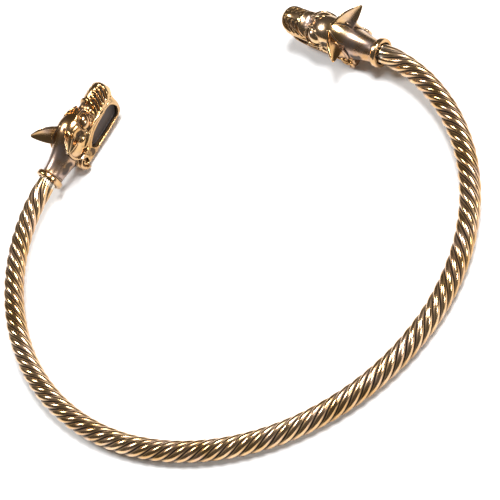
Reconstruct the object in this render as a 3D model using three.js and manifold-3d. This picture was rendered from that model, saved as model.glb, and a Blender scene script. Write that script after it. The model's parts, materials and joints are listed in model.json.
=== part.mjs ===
// Bronze neck ring: an open hoop of six strands twisted together, with a cast dragon head
// on each end. It lies on its back and on the jaws of both heads. Millimetres, Z up.
import * as THREE from "three";
import { mergeVertices } from "three/addons/utils/BufferGeometryUtils.js";
import Module from "manifold-3d";

const wasm = await Module();
wasm.setup();

// Hoop: the bent bar of twisted strands
const hoopLength = 324; // along the middle of the bar, between the end faces
const barRadius = 3.25;
const strandCount = 6;
const strandLead = 24; // length of bar in which one strand goes round once
const strandCentre = 0.55; // strand centres, as a share of the bar's radius
const strandRound = 0.45; // strand radius, as a share of the bar's radius
const straightEnd = 10; // strands ease into straight ones this close to each end
const straightShare = 0.12; // twist that is left at the very end
const crestAngle = 9; // degrees either side of a strand's top where its flat facet ends
const stationStep = 2.6; // length of bar between two rings of points

// Bend of the hoop: turning angle of the half hoop, and how unevenly it is spread
const halfTurn = 2.237; // radians from the back to one end
const backFlatness = 0.163; // flatter at the back and fuller at the sides
const sideFullness = 0.205;
const endHook = 0.128; // further turn in the last stretch, into the head
const endHookSharpness = 12;

// Seat of each end in the collar of its head
const socketDepth = 1.1;
const seatGap = 0.3; // clearance between the bar's end and the collar, all round

// Head: lengths along it from the collar's mouth, heights above and below the bar's middle
const collarWidth = 2.1;
const collarRadius = 4.75;
const collarChamfer = 0.6;
const neckRadius = 3.7;
const headLength = 37;
const crownHeight = 9.9;
const throatDepth = 4.2;
const cheekHalfWidth = 5.6;
const snoutHalfWidth = 4.5;
const rightRoll = 9; // degrees that a crown leans inwards from straight up, each head as it was set
const leftRoll = -5;
const headPitch = 3; // degrees that the noses point down from the plane of the hoop

// Snout wrinkles
const wrinkleStart = 29.8; // at the top of the snout
const wrinklePitch = 1.6;
const wrinkleCount = 4;
const wrinkleDepth = 0.65;
const wrinkleSlant = 0.75; // how far a wrinkle falls back for each millimetre down the side
const wrinkleTurn = 2.4; // drop below the snout's top from which it also bends back upwards
const wrinkleBend = 0.12; // how strongly it does
const wrinkleFoot = 3.8; // height where they stop above the lip
const wrinkleHead = 0.25; // and how far below the snout's top

// Jaw strap with the long open mouth in its sides
const jawHalfWidth = 4.3;
const jawFlare = 1.28; // how much wider the strap is at its back end
const jawBackBottom = 5.9;
const jawFrontBottom = 4.2;
const jawBack = 9.8;
const jawFront = 35.2;
const jawBevel = 0.9;
const mouthBack = 18;
const mouthWeb = 2.7; // half thickness of the metal between the two mouth hollows

// Curl at the back of the jaw
const curlX = 12.8;
const curlZ = -3.1;
const curlRadius = 2.3;
const curlTube = 0.85;
const curlTurns = 1.3;

// Ears
const earRootX = 14;
const earRootY = 2.9;
const earRootZ = 6.6;
const earTipX = 9.0;
const earTipY = 9.8;
const earTipZ = 9.3;
const earReach = 6.2; // height of an ear's root, from its lower edges to its upper one

// Round bulge under each ear
const lobeX = 13.8;
const lobeZ = 1.4;
const lobeRadius = 3.3;
const lobeSink = 0.7; // depth of its middle in the cheek

// Eyes
const eyeX = 22.2;
const eyeY = 4.0;
const eyeZ = 6.6;
const eyeLength = 8.6;
const eyeWidth = 6.8;
const eyeRim = 0.75;
const eyeTilt = 35; // degrees that the eye's face looks up from sideways
const eyeLean = 45; // degrees that its upper corner points forwards from straight up

const bronze = {
  color: 0x9e7440,
  roughness: 0.32,
  metalness: 1.0,
};

const rad = THREE.MathUtils.degToRad;
const lerp = THREE.MathUtils.lerp;

// A closed solid through a row of rings of points, with flat fans over both end rings
function loft(rings) {
  const positions = [];
  const indices = [];
  const sides = rings[0].length;
  for (const ring of rings) {
    for (const point of ring) {
      positions.push(point.x, point.y, point.z);
    }
  }
  for (let i = 0; i + 1 < rings.length; i += 1) {
    for (let j = 0; j < sides; j += 1) {
      const a = i * sides + j;
      const b = i * sides + ((j + 1) % sides);
      indices.push(a, b, b + sides, a, b + sides, a + sides);
    }
  }
  for (const [ringIndex, turned] of [[0, true], [rings.length - 1, false]]) {
    const middle = new THREE.Vector3();
    rings[ringIndex].forEach((point) => middle.add(point));
    middle.divideScalar(sides);
    const centre = positions.length / 3;
    positions.push(middle.x, middle.y, middle.z);
    for (let j = 0; j < sides; j += 1) {
      const a = ringIndex * sides + j;
      const b = ringIndex * sides + ((j + 1) % sides);
      indices.push(centre, turned ? b : a, turned ? a : b);
    }
  }
  const geometry = new THREE.BufferGeometry();
  geometry.setAttribute("position", new THREE.Float32BufferAttribute(positions, 3));
  geometry.setIndex(indices);
  return geometry;
}

function toSolid(geometry) {
  const bare = geometry.clone();
  bare.deleteAttribute("normal");
  bare.deleteAttribute("uv");
  const merged = mergeVertices(bare, 1e-4);
  const mesh = new wasm.Mesh({
    numProp: 3,
    vertProperties: new Float32Array(merged.attributes.position.array),
    triVerts: new Uint32Array(merged.index.array),
  });
  const solid = new wasm.Manifold(mesh);
  if (solid.volume() < 0) {
    throw new Error("a solid is inside out");
  }
  return solid;
}

function toGeometry(solid) {
  const mesh = solid.getMesh();
  const geometry = new THREE.BufferGeometry();
  geometry.setAttribute("position", new THREE.Float32BufferAttribute(mesh.vertProperties, 3));
  geometry.setIndex(Array.from(mesh.triVerts));
  geometry.computeVertexNormals();
  return geometry;
}

// Smooth value at x from a few [x, value] pairs
function profile(pairs) {
  const curve = new THREE.SplineCurve(pairs.map(([x, value]) => new THREE.Vector2(x, value)));
  const samples = curve.getPoints(pairs.length * 12);
  return (x) => {
    const after = samples.findIndex((sample) => sample.x >= x);
    if (after <= 0) {
      return after === 0 ? samples[0].y : samples[samples.length - 1].y;
    }
    const [p, q] = [samples[after - 1], samples[after]];
    return lerp(p.y, q.y, (x - p.x) / (q.x - p.x));
  };
}

// Hoop

// Direction of the bar's middle line, s along it from the back
function heading(s) {
  const u = s / (hoopLength / 2);
  const spread = backFlatness * Math.sin(Math.PI * u) / Math.PI;
  const fullness = sideFullness * Math.sin(2 * Math.PI * u) / (2 * Math.PI);
  const hook = Math.sign(u) * endHook * Math.abs(u) ** endHookSharpness;
  return halfTurn * u - spread - fullness + hook;
}

function middleLine(s) {
  const steps = 200;
  const point = new THREE.Vector2();
  for (let i = 0; i < steps; i += 1) {
    const angle = heading(s * (i + 0.5) / steps);
    point.x += Math.cos(angle) * s / steps;
    point.y += Math.sin(angle) * s / steps;
  }
  return point;
}

// Turn of the strands about the bar, left-handed, easing off towards both ends
function strandTurn(s) {
  const fullLength = hoopLength / 2 - straightEnd;
  const into = Math.max(0, Math.abs(s) - fullLength);
  const share = into / straightEnd;
  const lost = (1 - straightShare) * into * share / 2;
  return -Math.sign(s) * 2 * Math.PI * (Math.abs(s) - lost) / strandLead;
}

// Distance of the bar's surface from its middle, at an angle from a strand's top
function strandSurface(angle) {
  const across = strandCentre * Math.sin(angle);
  return barRadius * (strandCentre * Math.cos(angle) + Math.sqrt(strandRound ** 2 - across ** 2));
}

function barRing(s) {
  const middle = middleLine(s);
  const angle = heading(s);
  const outward = new THREE.Vector3(Math.sin(angle), -Math.cos(angle), 0);
  const upward = new THREE.Vector3(0, 0, 1);
  const half = Math.PI / strandCount;
  const ring = [];
  for (let strand = 0; strand < strandCount; strand += 1) {
    for (const offset of [-half, -rad(crestAngle), rad(crestAngle)]) {
      const turn = strandTurn(s) + 2 * half * strand + offset;
      const radius = strandSurface(offset);
      const point = new THREE.Vector3(middle.x, middle.y, 0);
      point.addScaledVector(upward, radius * Math.cos(turn));
      point.addScaledVector(outward, radius * Math.sin(turn));
      ring.push(point);
    }
  }
  return ring;
}

function twistedHoop() {
  const stations = Math.round(hoopLength / stationStep);
  const rings = [];
  for (let i = 0; i <= stations; i += 1) {
    rings.push(barRing(hoopLength * (i / stations - 0.5)));
  }
  return loft(rings);
}

// Head, looking along +X with its crown up, from the mouth of its collar at the origin

const topLine = profile([
  [0, neckRadius], [3, neckRadius], [6, 4.4], [10, 6.2], [13, 8.2], [16, 9.5], [18.5, crownHeight],
  [21, 9.6], [23.5, 8.5], [25.5, 7.6], [27.2, 7.5], [28.6, 8.1], [31, 8.8], [34, 9.0],
  [headLength - 1.1, 8.4], [headLength - 0.3, 7.4], [headLength, 6.2],
]);
const bottomLine = profile([
  [0, -neckRadius], [3, -neckRadius], [8, -3.9], [13, -throatDepth], [16, -3.4], [20, -0.8],
  [24, 1.0], [28, 1.8], [32, 2.2], [headLength - 1.5, 2.8], [headLength, 4],
]);
const sideLine = profile([
  [0, neckRadius], [3, neckRadius], [7, 4.2], [11, 5.0], [14, 5.5], [17, cheekHalfWidth],
  [20, 5.2], [24, 4.5], [27, 4.1], [29, snoutHalfWidth], [33, snoutHalfWidth],
  [headLength - 1.4, 3.9], [headLength, 2.4],
]);
const squareness = profile([[0, 1], [12, 1], [16, 0.9], [22, 0.9], [28, 1], [headLength, 1]]);
const widestLevel = profile([[0, 0.42], [22, 0.42], [29, 0.28], [headLength, 0.32]]);

// Depth of the snout's side wrinkles, which stop below its smooth top and above its lip
function wrinkle(x, z) {
  const drop = topLine(x) - z;
  const back = wrinkleSlant * drop + wrinkleBend * Math.max(0, wrinkleTurn - drop) ** 2;
  const along = (x + back - wrinkleStart) / wrinklePitch;
  const inside = along > 0 && along < wrinkleCount && z > wrinkleFoot && drop > wrinkleHead;
  return inside ? wrinkleDepth * (1 - Math.cos(2 * Math.PI * along)) / 2 : 0;
}

function skullRing(x) {
  const sides = 14;
  const top = topLine(x);
  const bottom = bottomLine(x);
  const middle = lerp(bottom, top, widestLevel(x));
  const power = squareness(x);
  const ring = [];
  for (let j = 0; j < sides; j += 1) {
    const angle = 2 * Math.PI * j / sides;
    const across = Math.sign(Math.cos(angle)) * Math.abs(Math.cos(angle)) ** power;
    const rise = Math.sign(Math.sin(angle)) * Math.abs(Math.sin(angle)) ** power;
    const z = middle + (rise > 0 ? top - middle : middle - bottom) * rise;
    const width = sideLine(x) - wrinkle(x, z);
    ring.push(new THREE.Vector3(x, width * across, z));
  }
  return ring;
}

function skull() {
  const stations = [];
  const wrinkledFrom = wrinkleStart - 2.6;
  for (let x = collarWidth - 0.6; x < wrinkledFrom - 1; x += 1.9) {
    stations.push(x);
  }
  for (let x = wrinkledFrom; x < headLength - 1; x += wrinklePitch / 2) {
    stations.push(x);
  }
  stations.push(headLength - 0.6, headLength);
  return toSolid(loft(stations.map(skullRing)));
}

function collar() {
  const socketRadius = barRadius + seatGap;
  const points = [
    [0, socketDepth], [socketRadius, socketDepth], [socketRadius, 0],
    [collarRadius - collarChamfer, 0], [collarRadius, collarChamfer],
    [collarRadius, collarWidth - collarChamfer], [collarRadius - collarChamfer, collarWidth],
    [0, collarWidth],
  ];
  const geometry = new THREE.LatheGeometry(points.map(([r, x]) => new THREE.Vector2(r, x)), 20);
  geometry.rotateZ(-Math.PI / 2);
  return toSolid(geometry);
}

// A flat shape in the head's side view, X forward and Z up, made thick across the head
function sidePlate(shape, from, to, bevel, curveSegments) {
  const geometry = new THREE.ExtrudeGeometry(shape, {
    depth: to - from - 2 * bevel,
    bevelEnabled: bevel > 0,
    bevelThickness: bevel,
    bevelSize: bevel,
    bevelOffset: -bevel,
    bevelSegments: 1,
    curveSegments,
  });
  geometry.rotateX(Math.PI / 2);
  geometry.translate(0, to - bevel, 0);
  return geometry;
}

function jawShape() {
  const shape = new THREE.Shape();
  shape.moveTo(jawBack + 2, 1);
  shape.quadraticCurveTo(jawBack - 1, -1.5, jawBack + 0.1, -4.4);
  shape.quadraticCurveTo(jawBack + 0.9, -jawBackBottom, jawBack + 3.4, -jawBackBottom);
  shape.lineTo(jawFront - 4.4, -jawFrontBottom);
  shape.quadraticCurveTo(jawFront, -jawFrontBottom + 0.3, jawFront, -0.4);
  shape.lineTo(jawFront - 0.1, 5);
  shape.lineTo(jawFront - 4, 5);
  return shape;
}

function mouthShape() {
  const shape = new THREE.Shape();
  const floorBack = -3.7;
  const floorFront = -jawFrontBottom + 1.0;
  const front = jawFront - 1.3;
  shape.moveTo(mouthBack, -1.6);
  shape.quadraticCurveTo(mouthBack + 1, floorBack - 0.6, mouthBack + 4, floorBack - 0.3);
  shape.lineTo(front - 3, floorFront);
  shape.quadraticCurveTo(front, floorFront + 0.2, front, 0);
  shape.quadraticCurveTo(front, 2.6, front - 3, 2.5);
  shape.quadraticCurveTo(mouthBack + 5, 2.2, mouthBack, -1.6);
  return shape;
}

function jaw() {
  const geometry = sidePlate(jawShape(), -jawHalfWidth, jawHalfWidth, jawBevel, 3);
  const position = geometry.attributes.position;
  for (let i = 0; i < position.count; i += 1) {
    const share = THREE.MathUtils.clamp((position.getX(i) - jawBack) / (jawFront - jawBack), 0, 1);
    position.setY(i, position.getY(i) * lerp(jawFlare, 1, Math.sqrt(share)));
  }
  return toSolid(geometry);
}

function mouthHollow(side) {
  const deep = cheekHalfWidth + 1;
  const [from, to] = side > 0 ? [mouthWeb, deep] : [-deep, -mouthWeb];
  return toSolid(sidePlate(mouthShape(), from, to, 0, 3));
}

// Ear: a sharp-edged spike, hollow behind, with a ridge between two hollows in front
function ear(side) {
  const root = new THREE.Vector3(earRootX, side * earRootY, earRootZ);
  const tip = new THREE.Vector3(earTipX, side * earTipY, earTipZ);
  const axis = tip.clone().sub(root).normalize();
  const upward = new THREE.Vector3(0, 0, 1).addScaledVector(axis, -axis.z).normalize();
  const forward = axis.clone().cross(upward).multiplyScalar(side);
  const outline = [
    [0.12, 0.57], [-0.19, -0.01], [-0.42, -0.3], [0.04, -0.42], [0.5, -0.3], [0.34, -0.06], [0.38, 0.14],
    [0.2, 0.26],
  ];
  const rings = [];
  for (const share of [-0.35, 0, 0.3, 0.6, 0.82, 1]) {
    const size = earReach * Math.max(0.12, 1 - Math.max(0, share) ** 1.8);
    const middle = root.clone().lerp(tip, share);
    const ring = outline.map(([f, u]) => middle.clone()
      .addScaledVector(forward, f * size)
      .addScaledVector(upward, u * size));
    rings.push(side > 0 ? ring.reverse() : ring);
  }
  return toSolid(loft(rings));
}

function lobe(side) {
  const geometry = new THREE.SphereGeometry(lobeRadius, 8, 6);
  geometry.scale(1.05, 0.5, 0.9);
  geometry.translate(lobeX, side * (cheekHalfWidth - lobeSink), lobeZ);
  return toSolid(geometry);
}

function almondShape(length, width) {
  const shape = new THREE.Shape();
  shape.moveTo(0, -length / 2);
  shape.bezierCurveTo(width * 0.5, -length * 0.3, width * 0.68, length * 0.16, 0, length / 2);
  shape.bezierCurveTo(-width * 0.68, length * 0.16, -width * 0.6, -length * 0.3, 0, -length / 2);
  return shape;
}

// Eye: an almond-shaped rim standing on the brow, hollow inside, with the ball in the hollow
function eye(side) {
  const plate = (length, width, depth, bevel) => new THREE.ExtrudeGeometry(almondShape(length, width), {
    depth,
    bevelEnabled: bevel > 0,
    bevelThickness: bevel,
    bevelSize: bevel,
    bevelOffset: -bevel,
    bevelSegments: 1,
    curveSegments: 4,
  });
  const rim = plate(eyeLength, eyeWidth, 2.2, 0.25);
  const hollow = plate(eyeLength - 2 * eyeRim, eyeWidth - 2 * eyeRim, 2, 0);
  rim.translate(0, 0, -1.6);
  hollow.translate(0, 0, 0.1);
  const ball = new THREE.SphereGeometry(eyeWidth * 0.3, 8, 6);
  ball.scale(1, 1.3, 0.9);
  const turned = new THREE.Matrix4();
  const outward = new THREE.Vector3(0, side * Math.cos(rad(eyeTilt)), Math.sin(rad(eyeTilt)));
  const slope = new THREE.Vector3(0, -side * Math.sin(rad(eyeTilt)), Math.cos(rad(eyeTilt)));
  const upward = new THREE.Vector3(Math.sin(rad(eyeLean)), 0, 0);
  upward.addScaledVector(slope, Math.cos(rad(eyeLean)));
  const sideways = upward.clone().cross(outward).normalize();
  upward.copy(outward).cross(sideways).normalize();
  turned.makeBasis(sideways, upward, outward);
  turned.setPosition(eyeX, side * eyeY, eyeZ);
  rim.applyMatrix4(turned);
  hollow.applyMatrix4(turned);
  ball.applyMatrix4(turned);
  return { rim: toSolid(rim), hollow: toSolid(hollow), ball: toSolid(ball) };
}

// Curl: a tapering tube wound inwards on the side of the jaw
function curl(side) {
  const rings = [];
  const steps = 10;
  for (let i = 0; i <= steps; i += 1) {
    const share = i / steps;
    const angle = -Math.PI * 0.5 - share * curlTurns * 2 * Math.PI;
    const radius = curlRadius * (1 - 0.75 * share);
    const tube = curlTube * (1 - 0.35 * share);
    const ring = [];
    for (let j = 0; j < 5; j += 1) {
      const turn = 2 * Math.PI * j / 5;
      const reach = radius + tube * Math.cos(turn);
      const x = curlX + reach * Math.cos(angle);
      const z = curlZ + reach * Math.sin(angle);
      const y = side * (jawHalfWidth * jawFlare - 0.1 + tube * Math.sin(turn) * 0.8);
      ring.push(new THREE.Vector3(x, y, z));
    }
    rings.push(side > 0 ? ring.reverse() : ring);
  }
  return toSolid(loft(rings));
}

function head() {
  let solid = skull().add(jaw());
  for (const side of [1, -1]) {
    solid = solid.subtract(mouthHollow(side));
  }
  for (const side of [1, -1]) {
    const { rim, hollow, ball } = eye(side);
    solid = solid.add(lobe(side)).add(ear(side)).add(curl(side));
    solid = solid.add(rim).subtract(hollow).add(ball);
  }
  return solid.add(collar());
}

// A head on the end of the bar: side 1 is the right end, -1 the left end
function placeHead(mesh, side, roll) {
  const end = middleLine(side * hoopLength / 2);
  const angle = heading(side * hoopLength / 2) + (side > 0 ? 0 : Math.PI);
  const along = new THREE.Vector3(Math.cos(angle), Math.sin(angle), 0);
  const inward = new THREE.Vector3(-along.y, along.x, 0).multiplyScalar(side);
  const [dip, lean] = [rad(headPitch), rad(roll)];
  const forward = along.clone().multiplyScalar(Math.cos(dip)).add(new THREE.Vector3(0, 0, -Math.sin(dip)));
  const level = along.clone().multiplyScalar(Math.sin(dip)).add(new THREE.Vector3(0, 0, Math.cos(dip)));
  const crown = level.multiplyScalar(Math.cos(lean)).addScaledVector(inward, Math.sin(lean));
  const left = crown.clone().cross(forward);
  mesh.quaternion.setFromRotationMatrix(new THREE.Matrix4().makeBasis(forward, left, crown));
  mesh.position.set(end.x, end.y, 0).addScaledVector(forward, seatGap - socketDepth);
}

function namedMesh(name, geometry) {
  const mesh = new THREE.Mesh(geometry, new THREE.MeshStandardMaterial(bronze));
  mesh.name = name;
  return mesh;
}

const hoop = namedMesh("twisted_hoop", toGeometry(toSolid(twistedHoop())));
const headGeometry = toGeometry(head());
const rightHead = namedMesh("right_dragon_head", headGeometry.clone());
const leftHead = namedMesh("left_dragon_head", headGeometry.clone());
placeHead(rightHead, 1, rightRoll);
placeHead(leftHead, -1, leftRoll);

const ring = new THREE.Group();
ring.add(hoop, rightHead, leftHead);

// Tilt of the ring at which its back and its heads' undersides are equally low
function lowest(meshes) {
  ring.updateMatrixWorld(true);
  const box = new THREE.Box3();
  meshes.forEach((mesh) => box.expandByObject(mesh, true));
  return box.min.z;
}
let [flat, steep] = [0, 0.1];
for (let i = 0; i < 30; i += 1) {
  ring.rotation.x = (flat + steep) / 2;
  const headsHigher = lowest([leftHead, rightHead]) > lowest([hoop]);
  [flat, steep] = headsHigher ? [flat, ring.rotation.x] : [ring.rotation.x, steep];
}

// The part's origin: the middle of its outline, on the surface that it lies on
ring.updateMatrixWorld(true);
const outline = new THREE.Box3().setFromObject(ring, true);
const middle = outline.getCenter(new THREE.Vector3());
ring.position.set(-middle.x, -middle.y, -outline.min.z);

const group = new THREE.Group();
group.add(ring);

export default group;
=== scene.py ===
"""Looks of a bronze neck ring: twisted hoop, two cast dragon heads, floor and studio light."""

import json
import logging
import math
from dataclasses import dataclass, field
from enum import Enum
from typing import Callable, Sequence

import bpy
import numpy as np
from mathutils import Matrix, Vector

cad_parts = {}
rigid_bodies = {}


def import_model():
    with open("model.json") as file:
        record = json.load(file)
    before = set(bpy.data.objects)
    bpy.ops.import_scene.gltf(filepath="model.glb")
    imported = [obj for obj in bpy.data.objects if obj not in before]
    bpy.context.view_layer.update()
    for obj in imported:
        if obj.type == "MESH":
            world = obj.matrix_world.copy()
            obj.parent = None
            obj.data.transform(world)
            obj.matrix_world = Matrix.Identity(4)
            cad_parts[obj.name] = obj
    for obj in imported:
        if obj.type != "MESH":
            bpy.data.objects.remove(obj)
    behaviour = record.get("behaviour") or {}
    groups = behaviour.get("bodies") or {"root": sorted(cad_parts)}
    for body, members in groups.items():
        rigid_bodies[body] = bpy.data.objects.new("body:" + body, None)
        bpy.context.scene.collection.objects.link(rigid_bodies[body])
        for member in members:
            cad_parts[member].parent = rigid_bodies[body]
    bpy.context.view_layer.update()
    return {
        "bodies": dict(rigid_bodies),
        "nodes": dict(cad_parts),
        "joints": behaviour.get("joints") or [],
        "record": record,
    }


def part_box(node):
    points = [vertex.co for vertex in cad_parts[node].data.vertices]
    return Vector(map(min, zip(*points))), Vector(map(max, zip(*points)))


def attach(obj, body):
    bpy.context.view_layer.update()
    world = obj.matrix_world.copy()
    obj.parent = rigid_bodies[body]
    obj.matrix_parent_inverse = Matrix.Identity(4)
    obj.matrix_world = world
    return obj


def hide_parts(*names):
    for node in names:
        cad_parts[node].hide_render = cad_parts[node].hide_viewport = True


log = logging.getLogger("neck_ring")

MM = 0.001
FULL_TURN = 2 * math.pi
DOUBLE_GAP = 1e-6
UP = np.array([0.0, 0.0, 1.0])
BOTH_SIDES = (1, -1)
FIRST_ACROSS = (0.31, 0.87, 0.38)  # parallel to no tube

Profile = Callable[[float], float]
Flat = tuple[float, float]
Point = tuple[float, float, float]
Colour = tuple[float, float, float]
Array = np.ndarray
Piece = bpy.types.Object
Socket = bpy.types.NodeSocket


class Side(Enum):
    """The two ends of the hoop."""

    LEFT = -1
    RIGHT = 1


class Slot(Enum):
    """Material slots of the record."""

    TWISTED = "twisted_bronze"
    CAST = "cast_bronze"


# Curves and meshes


def smooth_profile(pairs: Sequence[Flat]) -> Profile:
    """Make a smooth function through a few pairs of place and value.

    Args:
        pairs: Places in rising order, each with its value.

    Returns:
        A function that gives the value at any place, held level past both ends.
    """
    places = np.array([place for place, _ in pairs])
    values = np.array([value for _, value in pairs])
    slopes = np.gradient(values, places)

    def value_at(place: float) -> float:
        """Value of the smooth curve at one place."""
        place = float(np.clip(place, places[0], places[-1]))
        i = int(np.clip(np.searchsorted(places, place) - 1, 0, len(places) - 2))
        gap = places[i + 1] - places[i]
        t = (place - places[i]) / gap
        start = (1 + 2 * t) * (1 - t) ** 2 * values[i] + t * (1 - t) ** 2 * gap * slopes[i]
        finish = t * t * (3 - 2 * t) * values[i + 1] + t * t * (t - 1) * gap * slopes[i + 1]
        return float(start + finish)

    return value_at


def smooth_path(corners: Sequence[Sequence[float]], count: int, closed: bool = False) -> Array:
    """Run a smooth path through a few corners.

    Args:
        corners: The points that the path passes through.
        count: Number of points wanted on the path.
        closed: Whether the path comes back to its first corner.

    Returns:
        The points, one row each.
    """
    knots = np.array(corners, dtype=float)
    total = len(knots)
    spans = total if closed else total - 1
    path = []
    for k in range(count):
        place = spans * k / (count if closed else count - 1)
        i = min(int(place), spans - 1)
        t = place - i
        a, b, c, d = (knots[p % total if closed else min(max(p, 0), total - 1)] for p in range(i - 1, i + 3))
        path.append(0.5 * (2 * b + (c - a) * t + (2 * a - 5 * b + 4 * c - d) * t**2
                           + (3 * b - a - 3 * c + d) * t**3))
    return np.array(path)


def clear_selection() -> None:
    """Leave edit mode and deselect everything."""
    if bpy.context.object and bpy.context.object.mode != "OBJECT":
        bpy.ops.object.mode_set(mode="OBJECT")
    bpy.ops.object.select_all(action="DESELECT")


def pick(piece: Piece) -> None:
    """Make one piece the only selected and the active one."""
    clear_selection()
    piece.select_set(True)
    bpy.context.view_layer.objects.active = piece


def named(name: str) -> Piece:
    """Name the object that was just added."""
    bpy.context.object.name = name
    return bpy.context.object


def mirrored(place: Point, side: int) -> Array:
    """A place on the left side of a head, or its mirror image on the right."""
    return np.array(place) * (1, side, 1)


def rise(value: Array, reach: float) -> Array:
    """Climb from nought to one over a reach, level past both ends."""
    return np.clip(value / reach, 0, 1)


def spot(x: Array, z: Array, centre: Flat, reach: Flat) -> Array:
    """Fall off softly from one at a centre in the side view."""
    return np.exp(-((x - centre[0]) / reach[0]) ** 2 - ((z - centre[1]) / reach[1]) ** 2)


def coordinates(piece: Piece) -> Array:
    """Vertex places of a piece, one row each.

    Args:
        piece: The piece to read.

    Returns:
        The places.
    """
    values = np.empty(len(piece.data.vertices) * 3)
    piece.data.vertices.foreach_get("co", values)
    return values.reshape(-1, 3)


def set_coordinates(piece: Piece, values: Array) -> None:
    """Move the vertices of a piece to the places given, one row each."""
    piece.data.vertices.foreach_set("co", np.ascontiguousarray(values).ravel())
    piece.data.update()


def keep_mark(piece: Piece, name: str, values: Array) -> None:
    """Keep a value at each point of a piece, under a name that a finish can read."""
    attribute = piece.data.attributes.new(name, "FLOAT", "POINT")
    attribute.data.foreach_set("value", values.ravel())


def turn_outwards() -> None:
    """Point all faces of the closed piece in edit mode outwards, and leave that mode."""
    bpy.ops.mesh.select_all(action="SELECT")
    bpy.ops.mesh.normals_make_consistent(inside=False)
    bpy.ops.object.mode_set(mode="OBJECT")


def skinned(name: str, rings: Array, wrapped: bool = False,
            marks: dict[str, Array] | None = None) -> Piece:
    """Shape a grid into a closed skin over a row of rings of points.

    Args:
        name: Name of the new piece.
        rings: Array of rings, of points in a ring, of coordinates.
        wrapped: Whether the last ring joins the first, as on a closed loop.
        marks: Values kept at the points, by name, one for each point of each ring.

    Returns:
        The closed piece, with its faces pointing outwards.
    """

    def closed(values: Array) -> Array:
        """Repeat the first point of each ring, and the first ring of a loop."""
        rows = np.concatenate([values, values[:1]]) if wrapped else values
        return np.concatenate([rows, rows[:, :1]], axis=1)

    rows = closed(rings)
    clear_selection()
    bpy.ops.mesh.primitive_grid_add(
        x_subdivisions=rows.shape[1] - 1, y_subdivisions=rows.shape[0] - 1, size=1)
    piece = named(name)
    set_coordinates(piece, rows.reshape(-1, 3))
    for mark, values in (marks or {}).items():
        keep_mark(piece, mark, closed(values))
    bpy.ops.object.mode_set(mode="EDIT")
    bpy.ops.mesh.select_all(action="SELECT")
    bpy.ops.mesh.remove_doubles(threshold=DOUBLE_GAP)
    bpy.ops.mesh.fill_holes(sides=0)
    turn_outwards()
    return piece


def tube_rings(path: Array, radii: Sequence[float], sides: int, closed: bool = False) -> Array:
    """Rings of a round tube along a path.

    Args:
        path: The points of the tube's middle.
        radii: The tube's radius at each point.
        sides: Number of points in a ring.
        closed: Whether the path is a loop.

    Returns:
        Array of rings, of points in a ring, of coordinates.
    """
    rings = []
    if closed:
        before, after = np.roll(path, 1, axis=0), np.roll(path, -1, axis=0)
    else:
        before = np.vstack([path[:1], path[:-1]])
        after = np.vstack([path[1:], path[-1:]])
    across = None
    for point, a, b, radius in zip(path, before, after, radii):
        along = (b - a) / np.linalg.norm(b - a)
        if across is None:
            across = np.cross(along, FIRST_ACROSS)
        across = across - along * (across @ along)
        across = across / np.linalg.norm(across)
        other = np.cross(along, across)
        turns = FULL_TURN * np.arange(sides) / sides
        rings.append(point + radius * (np.outer(np.cos(turns), across) + np.outer(np.sin(turns), other)))
    return np.array(rings)


def tube(name: str, path: Array, radii: Sequence[float], sides: int = 10,
         closed: bool = False) -> Piece:
    """Make a closed round tube along a path."""
    return skinned(name, tube_rings(path, radii, sides, closed), wrapped=closed)


def pebble(name: str, centre: Sequence[float], radii: Point, turn: Matrix | None = None,
           segments: int = 32) -> Piece:
    """Make an egg-shaped lump.

    Args:
        name: Name of the new piece.
        centre: Middle of the lump.
        radii: Its three radii.
        turn: Rotation of the lump about its middle.
        segments: Number of segments round it.

    Returns:
        The lump, with its place in its mesh.
    """
    clear_selection()
    bpy.ops.mesh.primitive_uv_sphere_add(segments=segments, ring_count=segments // 2, radius=1)
    piece = named(name)
    spin = np.array((turn or Matrix.Identity(3)).to_3x3())
    set_coordinates(piece, coordinates(piece) * np.array(radii) @ spin.T + np.array(centre))
    return piece


def side_plate(name: str, outline: Array, low: float, high: float) -> Piece:
    """Make a plate with a flat outline in the side view, X forward and Z up.

    Args:
        name: Name of the new piece.
        outline: Closed outline, two columns, X and Z.
        low: Lowest Y of the plate.
        high: Highest Y of the plate.

    Returns:
        The closed plate.
    """
    clear_selection()
    bpy.ops.mesh.primitive_circle_add(vertices=len(outline), radius=1, fill_type="NGON")
    piece = named(name)
    flat = np.column_stack([outline[:, 0], np.full(len(outline), low), outline[:, 1]])
    set_coordinates(piece, flat)
    bpy.ops.object.mode_set(mode="EDIT")
    bpy.ops.mesh.select_all(action="SELECT")
    bpy.ops.mesh.extrude_region_move(TRANSFORM_OT_translate={"value": (0, high - low, 0)})
    turn_outwards()
    return piece


def apply_modifier(piece: Piece, kind: str, **settings: object) -> None:
    """Add a modifier to a piece and apply it at once.

    Args:
        piece: The piece to change.
        kind: Blender's name of the modifier.
        settings: The modifier's values.
    """
    pick(piece)
    modifier = piece.modifiers.new(kind.title(), kind)
    for key, value in settings.items():
        setattr(modifier, key, value)
    bpy.ops.object.modifier_apply(modifier=modifier.name)


def fused(pieces: Sequence[Piece], name: str) -> Piece:
    """Join pieces into one object, without changing their faces.

    Args:
        pieces: The pieces to join.
        name: Name of the object.

    Returns:
        The first piece, which now holds them all.
    """
    pick(pieces[0])
    for piece in pieces:
        piece.select_set(True)
    bpy.ops.object.join()
    pieces[0].name = name
    return pieces[0]


def cast(piece: Piece, grain: float, softening: int) -> None:
    """Melt the overlapping parts of a piece into one skin, as one casting.

    Args:
        piece: The piece to change.
        grain: Size of the new skin's faces.
        softening: How many times the skin is smoothed afterwards.
    """
    apply_modifier(piece, "REMESH", mode="VOXEL", voxel_size=grain)
    apply_modifier(piece, "SMOOTH", factor=0.5, iterations=softening)


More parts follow.
